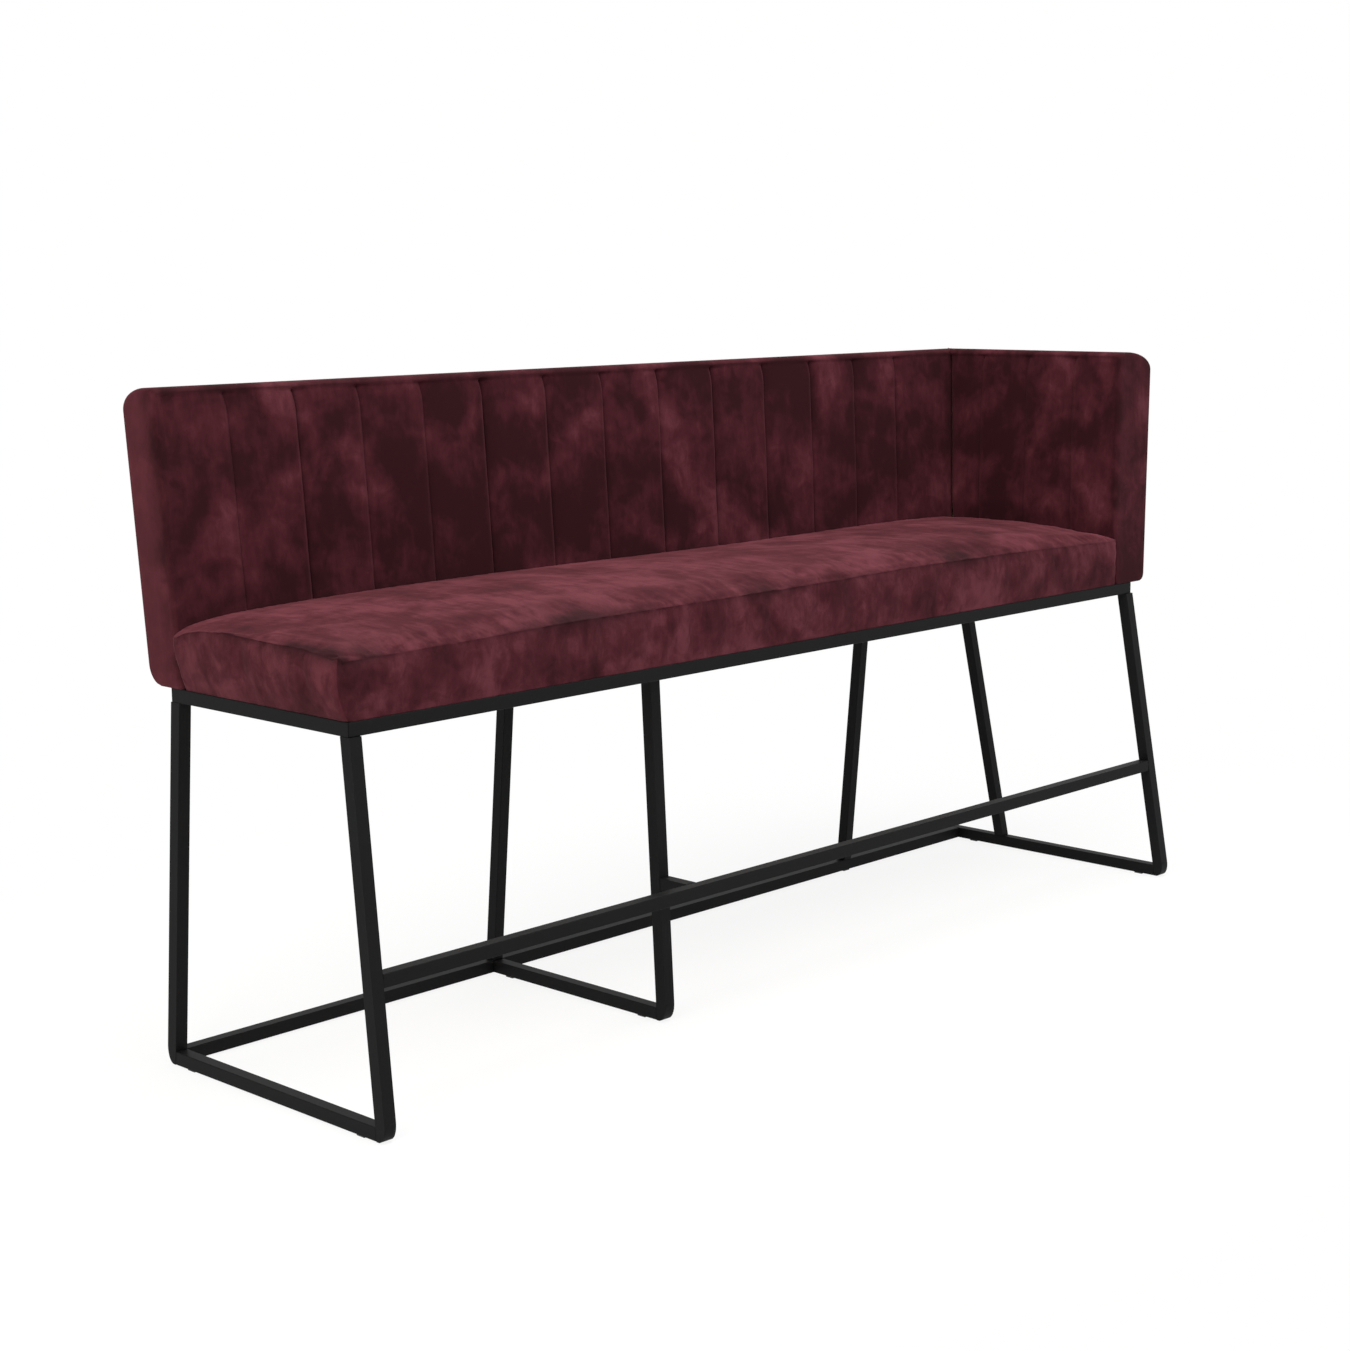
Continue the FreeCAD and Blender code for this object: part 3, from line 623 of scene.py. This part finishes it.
def cushion_surface(columns, rows):
    """The seat cushion: a crowned top, bowed sides and an underside that fits over the deck.

    The top's height is a straight blend from the front seam to the rear edge plus a parabola across the depth,
    and a lift that turns over from the seam as a quarter of an ellipse. The ellipse is longer where the seam is
    drawn tight, and the seam of the open end rises above the blend. The sides bow out by half a sine between
    their seams and follow the leaning back and arm. The open end also leans out towards its seam.
    """
    size = sizes()
    a = eased(columns, 0.9)[:, None]
    b = eased(rows, 0.85)[None, :]
    loop_a = np.concatenate([np.arange(columns), np.full(rows - 2, columns - 1), np.arange(columns)[::-1],
                             np.zeros(rows - 2, int)])
    loop_b = np.concatenate([np.zeros(columns, int), np.arange(1, rows - 1), np.full(columns, rows - 1),
                             np.arange(1, rows - 1)[::-1]])

    def plan(height, inset, belly=0.0):
        """Grid places at a height above the frame, between the open sides and the two leaning panels."""
        low = (SEAT_LEFT + inset - belly, SEAT_FRONT + inset)
        high_x = ARM_INNER + size.arm_lean * height + tucked(height) - CLEARANCE - inset
        high_y = BACK_FRONT + size.recline * height - CLEARANCE - inset
        x = low[0] + (high_x - low[0]) * a + 0 * b
        y = low[1] + (high_y - low[1]) * b + 0 * a
        corner = np.where(a < 0.5, size.seat_corner, 0.4 * size.seat_corner) - 0.6 * inset
        return rounded_plan(x, y, low, (high_x, high_y), corner)

    length = ARM_INNER - SEAT_LEFT
    along = a * length + 0 * b
    front = smooth_line(FRONT_SEAM_AT, FRONT_SEAM_HEIGHT, along, 0.03)
    rear = smooth_line(REAR_EDGE_AT, REAR_EDGE_HEIGHT, along, 0.014)
    bulge = 0.0045 + 0.0040 * np.clip(np.minimum(along, length - along) / 0.25, 0, 1)
    x, y = plan(0.09 + 0 * a + 0 * b, 0.0)
    edge = np.minimum(np.minimum(x - SEAT_LEFT, y - SEAT_FRONT), np.minimum(x.max() - x, 0.06))
    edge = np.maximum(edge, 0)
    tight = 0.16 + 0.35 * soft_waves(x * 1.25, y * 1.25, 0 * x, 31)
    for place, width, strength in SEAM_PULLS:
        tight += strength * np.exp(-((x - SEAT_LEFT - place) / width) ** 2)
    tight += 0.45 * np.exp(-(x - SEAT_LEFT) / 0.02)
    tight = np.clip(tight, 0.06, 1) * np.clip(1.25 - (y - SEAT_FRONT) / 0.3, 0, 1) * (y < y.max() - 0.01)
    reach = 0.010 + 0.018 * tight + 0.016 * np.clip((y - SEAT_FRONT - 0.14) / 0.2, 0, 1)
    turned = np.sqrt(1 - (1 - np.minimum(edge / reach, 1)) ** 2)
    full_lift = 0.011
    fallen = np.clip(1 - (x.max() - x) / 0.14, 0, 1) * np.clip(1.2 - 1.4 * b, 0, 1)
    lift = full_lift * turned * (1 - 0.7 * fallen)
    crown = front + (rear - full_lift - front) * b + bulge * 4 * b * (1 - b) + lift
    ripple = 0.0011 * soft_waves(x, y * 1.6, 0 * x, 5) * np.clip(edge / 0.01, 0, 1)
    ripple *= np.clip((y.max() - y) / 0.15, 0.15, 1)
    pucker = 0.0012 * soft_waves(x * 2.6, y * 2.6, 0 * x, 8) * np.exp(-edge / 0.018)
    pucker *= np.clip(edge / 0.003, 0, 1)
    rise = smooth_line(END_SEAM_AT, END_SEAM_RISE, y - SEAT_FRONT, 0.012) * (1 - turned)
    rise *= np.exp(-((x - SEAT_LEFT) / 0.05) ** 2)
    top_z = crown + rise + ripple + pucker
    top_x, top_y = plan(np.clip(top_z, 0, 0.2), size.seam_draw, size.end_belly)
    top = np.stack([top_x, top_y, FRAME_TOP + top_z], -1)
    seam_height = top_z[loop_a, loop_b]

    levels = np.array([0.985, 0.96, 0.92, 0.85, 0.74, 0.62, 0.5, 0.38, 0.26, 0.16, 0.09, 0.04, 0.012, 0.0])
    at_left, at_right = loop_a == 0, loop_a == columns - 1
    at_front, at_rear = loop_b == 0, loop_b == rows - 1
    outward = np.stack([at_right * 1.0 - at_left, at_rear * 1.0 - at_front, 0.0 * loop_a], -1)
    rings = []
    for level in levels:
        height = FOOT_GAP + seam_height * level
        bow = np.sin(np.pi * level) ** 0.5
        draw = size.seam_draw if level > 0.5 else 0.4 * size.seam_draw
        belly = size.end_belly * level + (0.002 + 0.006 * (1 - b) ** 2) * np.sin(np.pi * level) ** 0.7
        ring_x, ring_y = (grid[loop_a, loop_b]
                          for grid in plan(height.mean(), draw * (1 - bow) + 0.0004, belly))
        waves = 0.0006 * soft_waves(ring_x, ring_y, height, 21)
        lean_x = size.arm_lean * (height - height.mean()) * at_right
        lean_y = size.recline * (height - height.mean()) * at_rear
        ring = np.stack([ring_x + lean_x, ring_y + lean_y, FRAME_TOP + height], -1)
        rings.append(ring - outward * np.abs(waves)[:, None])
    hem_x, hem_y = (grid[loop_a, loop_b] for grid in plan(0.0, HEM_INSET))
    rings.append(np.stack([hem_x, hem_y, np.full(loop_a.shape, FRAME_TOP + FOOT_GAP)], -1))
    under_x, under_y = plan(0.0127, HEM_INSET)
    under = np.stack([under_x, under_y, np.full(under_x.shape, DECK_TOP + 0.0004)], -1)
    rings = np.array(rings)

    top_index = np.arange(top_x.size).reshape(top_x.shape)
    ring_index = top_index.size + np.arange(rings.shape[0] * rings.shape[1]).reshape(rings.shape[:2])
    under_index = top_index.size + ring_index.size + np.arange(under_x.size).reshape(under_x.shape)
    strips = np.concatenate([top_index[loop_a, loop_b][None], ring_index, under_index[loop_a, loop_b][None]])
    strips = np.concatenate([strips, strips[:, :1]], axis=1)
    faces = np.concatenate([grid_faces(top_index), grid_faces(strips), grid_faces(under_index)])
    points = np.concatenate([top.reshape(-1, 3), rings.reshape(-1, 3), under.reshape(-1, 3)])
    on_side = np.zeros(len(faces))
    on_side[len(grid_faces(top_index)):] = 1

    # Painted shade on the seat top along the front seam, in patches under the puckers and near the left end.
    pucker_shade_patches = np.clip(0.85 + 0.7 * soft_waves(x * 2.4, y * 2.4, 0 * x, 12), 0.2, 1.2)
    top_seam = (0.45 + 0.55 * tight) * (1 - turned) ** (1.2 - 0.8 * tight)
    top_seam += 0.75 * tight ** 2 * np.exp(-((y - SEAT_FRONT) / 0.055) ** 2)
    top_seam += 0.3 * tight ** 2 * np.exp(-((x - SEAT_LEFT) / 0.034) ** 2)
    top_seam = np.clip(top_seam * pucker_shade_patches, 0, 1)
    # Lightens the middle of the top, away from the front seam.
    top_seam -= 0.16 * np.exp(-((x - SEAT_LEFT - 0.85) / 0.35) ** 2) * np.clip(edge / 0.03, 0, 1)
    # Painted shade on the boxing below the seam, reaching further down where the seam is drawn tight.
    below = (1 - levels)[:, None] * 0.085
    side_x, side_y, side_tight = (grid[loop_a, loop_b] for grid in (x, y, tight))
    fall = 0.0035 + 0.008 * side_tight ** 2
    side_seam = (0.45 + 0.55 * side_tight) * (side_tight > 0.02) * np.exp(-below / fall)
    # Painted shade on the front boxing and painted light on the left boxing, each near the front left corner.
    turn = 0.4 * np.exp(-(side_x - SEAT_LEFT) / 0.03) * at_front
    turn -= 0.4 * np.exp(-(side_y - SEAT_FRONT) / 0.03) * at_left
    joint = 0.5 * np.exp(-((y.max() - 0.009 - side_y) / 0.0016) ** 2) * at_left
    side_seam = np.clip(side_seam + turn + joint + 0.08 * at_left, -1, 1)
    seam = np.concatenate([top_seam.ravel(), side_seam.ravel(), np.zeros(loop_a.size + under_x.size)])

    held_top = np.ones(top_x.shape, bool)
    held_top[1:-1, 1:-1] = False
    held_sides = (at_right | at_rear)[None, :] | (np.append(levels, 0) < 0.1)[:, None]
    held = np.concatenate([held_top.ravel(), held_sides.ravel(), np.ones(under_x.size, bool)])
    return points, faces, on_side, seam, held


class BANQUETTE_OT_base(bpy.types.Operator):
    """Coats the steel tubes and tabs, and rounds the tubes' long edges"""
    bl_idname = "banquette.base"
    bl_label = "Steel base"

    def execute(self, context):
        finish_nodes(TUBES + TABS, powder_coat())
        for name in TUBES:
            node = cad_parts[name]
            weld = node.modifiers.new("joined", "WELD")
            weld.merge_threshold = 1e-5
            edge = node.modifiers.new("rolled edge", "BEVEL")
            edge.width = sizes().tube_round
            edge.segments = 2
            edge.limit_method = "ANGLE"
            edge.angle_limit = 0.6
            edge.harden_normals = True
        return {"FINISHED"}


class BANQUETTE_OT_carcass(bpy.types.Operator):
    """Finishes the timber, boards, screws and glides"""
    bl_idname = "banquette.carcass"
    bl_label = "Frames, boards and fixings"

    def execute(self, context):
        finish_nodes(TIMBERS, wood("softwood", colours().timber, (0.12, 1, 1)))
        finish_nodes(BOARDS, wood("plywood_birch", colours().plywood, (0.2, 1, 1)))
        finish_nodes(SCREWS, zinc())
        finish_nodes(["floor_glides"], glide_plastic())
        return {"FINISHED"}


class BANQUETTE_OT_seat(bpy.types.Operator):
    """Makes the boxed seat cushion"""
    bl_idname = "banquette.seat"
    bl_label = "Seat cushion"

    def execute(self, context):
        points, faces, on_side, seam, held = cushion_surface(240, 60)
        # The third argument of each velvet is painted sheen: it lightens the seat top and the boxing for the
        # light falling on them.
        finishes = [velvet("velvet_seat_top", (1, 0.25, 1), 0.045, (0.48, 0.22, 0.3)),
                    velvet("velvet_boxing", (1, 1, 0.4), 0.03, (0.56, 0.26, 0.18))]
        piece = make_piece("seat_cushion", points, faces, finishes, on_side, seam, held)
        still = np.empty(len(piece.data.vertices))
        piece.data.attributes["held"].data.foreach_get("value", still)
        swell(piece, still > 0.5, SWELL_LIMIT)
        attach(piece, "root")
        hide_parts("seat_boxing", "seat_top_panel", "seat_foam")
        return {"FINISHED"}


class BANQUETTE_OT_back(bpy.types.Operator):
    """Makes the channelled back"""
    bl_idname = "banquette.back"
    bl_label = "Channelled back"

    def execute(self, context):
        size = sizes()

        def place(u, w, v):
            return np.stack([u + 0 * v, BACK_FRONT + w + size.recline * v + 0 * u, FRAME_TOP + v + 0 * u], -1)

        def marks_at(v):
            first = SEAT_LEFT + size.back_first_channel
            run = ARM_INNER - size.back_last_channel + size.seam_fan * v - first
            return [SEAT_LEFT + 0 * v] + [first + run * share for share in BACK_SEAM_SHARES]

        def end_at(v, w, side):
            mitre = np.clip(w, 0, 1) * size.arm_thickness / size.back_thickness
            behind = 0.016 * (side == 0) * np.clip((size.panel_height - 0.001 - v) / 0.006, 0, 1)
            return ARM_INNER + size.arm_lean * v + mitre + behind

        points, seam = panel_surface(place, marks_at, end_at, size.back_thickness, size.panel_height,
                                     (size.back_top_run, size.back_top_drop, 0.028), hem=0.0648,
                                     pulls=(0.0, *BACK_SEAM_PULLS, 0.7), end_painted_light=0.65, top_shade=0.35,
                                     seed=3)
        # The back's velvet gets a negative third argument: painted shade, darker for the light falling on the
        # back.
        dress_panel("back_upholstery", points, seam, velvet("velvet_back", (1, 1, 0.35), -0.05),
                    ["back_outer_cover", "back_channel_pad"])
        return {"FINISHED"}


class BANQUETTE_OT_arm(bpy.types.Operator):
    """Makes the channelled arm"""
    bl_idname = "banquette.arm"
    bl_label = "Channelled arm"

    def execute(self, context):
        size = sizes()
        corner = BACK_FRONT - SEAT_FRONT

        def place(u, w, v):
            inner = tucked(v) * np.clip(1 - w / size.arm_thickness, 0, 1)
            return np.stack([ARM_INNER + w + size.arm_lean * v + inner + 0 * u,
                             SEAT_FRONT + u + size.arm_rake * v, FRAME_TOP + v + 0 * u], -1)

        def marks_at(v):
            return [0 * v] + [0 * v + size.arm_channel * count for count in (1, 2, 3)]

        def end_at(v, w, side):
            reach = np.clip(w, 0, 1) * size.back_thickness / size.arm_thickness
            return corner + (size.recline - size.arm_rake) * v + reach

        points, seam = panel_surface(place, marks_at, end_at, size.arm_thickness, size.panel_height,
                                     (size.arm_top_run, size.arm_top_drop, 0.014), hem=0.0,
                                     pulls=(0.0, 0.5, 0.4, 0.55, 0.7), end_painted_light=-0.08, top_shade=0.0,
                                     seed=11)
        # The arm's velvet gets a negative third argument: painted shade, darker for the light falling on the
        # arm.
        dress_panel("arm_upholstery", points, seam, velvet("velvet_arm", (1, 1, 0.35), -0.055),
                    ["arm_outer_cover", "arm_channel_pad"])
        return {"FINISHED"}


class BANQUETTE_OT_stage(bpy.types.Operator):
    """Sets the floor, the soft light and the camera"""
    bl_idname = "banquette.stage"
    bl_label = "Stage"

    def execute(self, context):
        scene = context.scene
        scene.view_settings.view_transform = "Standard"
        side = np.linspace(-30, 30, 2)
        plane = np.stack(np.meshgrid(side, side, [0.0], indexing="ij"), -1)[:, :, 0]
        recipe = Recipe(bpy.data.materials.new("studio_floor"))
        away = recipe.node("ShaderNodeVectorMath", {"operation": "LENGTH"},
                           {0: recipe.coordinates((0.55, 1, 1))}, out="Value")
        plain = recipe.spread(away, 0.55, 1.3)
        matt = recipe.node("ShaderNodeBsdfDiffuse", {}, {"Color": (0.9, 0.9, 0.9, 1)})
        white = recipe.node("ShaderNodeEmission", {}, {"Color": (1, 1, 1, 1), "Strength": 1.0})
        shown = recipe.looked_at() * (plain * 0.14 + 0.86)
        mixed = recipe.node("ShaderNodeMixShader", {}, {0: shown, 1: matt, 2: white})
        recipe.node("ShaderNodeOutputMaterial", {}, {"Surface": mixed})
        floor = make_piece("floor", plane, np.array([[0, 2, 3, 1]]), [recipe.owner])

        sky = Recipe(bpy.data.worlds.new("studio"))
        fill, white = (sky.node("ShaderNodeBackground", {}, {"Color": (1, 1, 1, 1), "Strength": strength})
                       for strength in (0.42, 1.0))
        mixed = sky.node("ShaderNodeMixShader", {}, {0: sky.looked_at(), 1: fill, 2: white})
        sky.node("ShaderNodeOutputWorld", {}, {"Surface": mixed})
        scene.world = sky.owner

        for name, place, aim, power, width, tint in (
                ("key", (-3.4, -0.9, 2.5), (-0.2, 0, 0.6), 114, 2.0, (1.0, 0.99, 0.90)),
                ("top", (0.1, -0.6, 3.4), (0.1, 0, 0.6), 125, 2.6, (1.0, 1.0, 0.97)),
                ("front", (1.2, -4.0, 1.9), (0.2, 0, 0.7), 46, 2.6, (1.0, 0.95, 1.0))):
            lamp = bpy.data.lights.new(name, "AREA")
            lamp.energy = power
            lamp.color = tint
            lamp.size = width
            holder = bpy.data.objects.new(name, lamp)
            holder.location = place
            holder.rotation_euler = (Vector(aim) - Vector(place)).to_track_quat("-Z", "Y").to_euler()
            scene.collection.objects.link(holder)

        camera = bpy.data.cameras.new("camera")
        camera.sensor_width = 36
        camera.lens = 63.25
        camera.clip_end = 200
        holder = bpy.data.objects.new("camera", camera)
        right = Vector((0.69097667, -0.72283445, -0.00784862))
        up = Vector((0.12792045, 0.11158203, 0.9854876))
        turn = Matrix((right, up, right.cross(up))).transposed()
        holder.matrix_world = Matrix.Translation((-2.84120, -2.61286, 1.1409)) @ turn.to_4x4()
        scene.collection.objects.link(holder)
        scene.camera = holder
        return {"FINISHED"}


class BANQUETTE_PT_panel(bpy.types.Panel):
    """Lists the pieces, sizes and colours"""
    bl_idname = "BANQUETTE_PT_panel"
    bl_label = "Bar Banquette"
    bl_space_type = "VIEW_3D"
    bl_region_type = "UI"
    bl_category = "Banquette"

    def draw(self, context):
        for operator in OPERATORS:
            self.layout.operator(operator.bl_idname)
        for group in (context.scene.banquette_sizes, context.scene.banquette_colours):
            for name in group.__annotations__:
                self.layout.prop(group, name)


OPERATORS = (BANQUETTE_OT_base, BANQUETTE_OT_carcass, BANQUETTE_OT_seat, BANQUETTE_OT_back, BANQUETTE_OT_arm,
             BANQUETTE_OT_stage)
CLASSES = (BanquetteSizes, BanquetteColours, *OPERATORS, BANQUETTE_PT_panel)


def register():
    for cls in CLASSES:
        bpy.utils.register_class(cls)
    bpy.types.Scene.banquette_sizes = PointerProperty(type=BanquetteSizes)
    bpy.types.Scene.banquette_colours = PointerProperty(type=BanquetteColours)


def unregister():
    del bpy.types.Scene.banquette_colours
    del bpy.types.Scene.banquette_sizes
    for cls in reversed(CLASSES):
        bpy.utils.unregister_class(cls)


def main():
    """Builds every piece."""
    register()
    bpy.ops.banquette.base()
    bpy.ops.banquette.carcass()
    bpy.ops.banquette.seat()
    bpy.ops.banquette.back()
    bpy.ops.banquette.arm()
    bpy.ops.banquette.stage()


if __name__ == "__main__":
    main()
